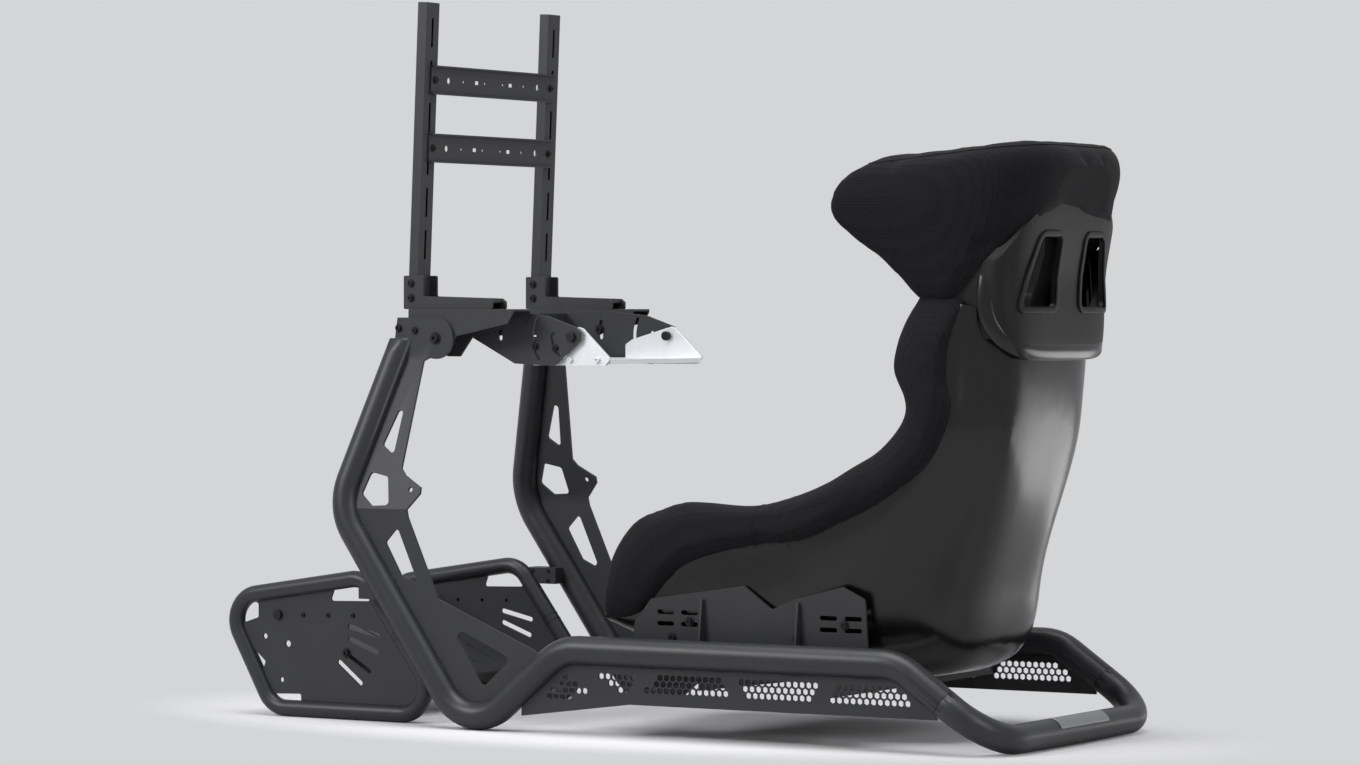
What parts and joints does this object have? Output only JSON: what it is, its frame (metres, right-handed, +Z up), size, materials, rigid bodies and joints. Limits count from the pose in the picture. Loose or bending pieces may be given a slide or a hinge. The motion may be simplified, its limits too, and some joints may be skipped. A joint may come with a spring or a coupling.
{
  "type": "sim racing cockpit",
  "caption": "Bent tube racing simulator cockpit with bucket seat, tilting wheel plate, sloping pedal plate and monitor stand.",
  "frame": {"origin": "on the floor under the middle of the overall length and width", "axes": "+X forward to the pedals, +Y to the driver's left, +Z up"},
  "size_m": [1.6189, 0.656, 1.2899],
  "materials": {
    "powder_coat_tube": "satin black powder coat on steel tube",
    "powder_coat_sheet": "fine texture black powder coat on folded sheet steel",
    "brushed_aluminium": "brushed, clear anodised",
    "brushed_strip": "bare brushed strip",
    "gloss_shell": "glossy black moulded shell",
    "matte_panel": "fine matt moulding",
    "mesh_fabric": "black knitted spacer mesh over foam",
    "black_bolt": "black oxide socket screws"
  },
  "bodies": {
    "frame": {"left_side_tube": "powder_coat_tube", "right_side_tube": "powder_coat_tube", "rear_tube": "powder_coat_tube", "tread_strip": "brushed_strip", "left_sill_plate": "powder_coat_sheet", "right_sill_plate": "powder_coat_sheet", "left_gusset": "powder_coat_sheet", "right_gusset": "powder_coat_sheet", "left_deck_arm": "powder_coat_sheet", "right_deck_arm": "powder_coat_sheet", "deck_cross_tube": "powder_coat_sheet", "left_deck_plate": "powder_coat_sheet", "right_deck_plate": "powder_coat_sheet", "left_wheel_pivot": "black_bolt", "right_wheel_pivot": "black_bolt", "left_monitor_foot": "powder_coat_sheet", "right_monitor_foot": "powder_coat_sheet", "left_monitor_post": "powder_coat_sheet", "right_monitor_post": "powder_coat_sheet", "lower_monitor_bar": "powder_coat_sheet", "upper_monitor_bar": "powder_coat_sheet", "left_pedal_loop": "powder_coat_tube", "right_pedal_loop": "powder_coat_tube", "left_pedal_cheek": "powder_coat_sheet", "right_pedal_cheek": "powder_coat_sheet", "left_pedal_pivot": "black_bolt", "right_pedal_pivot": "black_bolt", "left_pedal_clamp": "powder_coat_sheet", "right_pedal_clamp": "powder_coat_sheet", "seat_shell": "gloss_shell", "seat_base_pad": "mesh_fabric", "seat_back_pad": "mesh_fabric", "left_side_bolster": "mesh_fabric", "right_side_bolster": "mesh_fabric", "head_cover": "mesh_fabric", "harness_panel": "matte_panel", "head_pad": "mesh_fabric", "left_seat_bracket": "powder_coat_sheet", "right_seat_bracket": "powder_coat_sheet", "front_seat_beam": "powder_coat_sheet", "rear_seat_beam": "powder_coat_sheet"},
    "wheel_deck": {"wheel_plate": "brushed_aluminium", "left_wheel_ear": "brushed_aluminium", "right_wheel_ear": "brushed_aluminium"},
    "pedal_tray": {"pedal_plate": "powder_coat_sheet"}
  },
  "joints": [
    {"name": "wheel_tilt", "type": "hinge", "parent": "frame", "child": "wheel_deck", "pos_m": [0.11929, 0, 0.691], "axis": [0, 1, 0], "range_deg": [-36, 16]},
    {"name": "pedal_tilt", "type": "hinge", "parent": "frame", "child": "pedal_tray", "pos_m": [0.69741, 0, 0.184], "axis": [0, 1, 0], "range_deg": [-5.5, 17.7]}
  ]
}
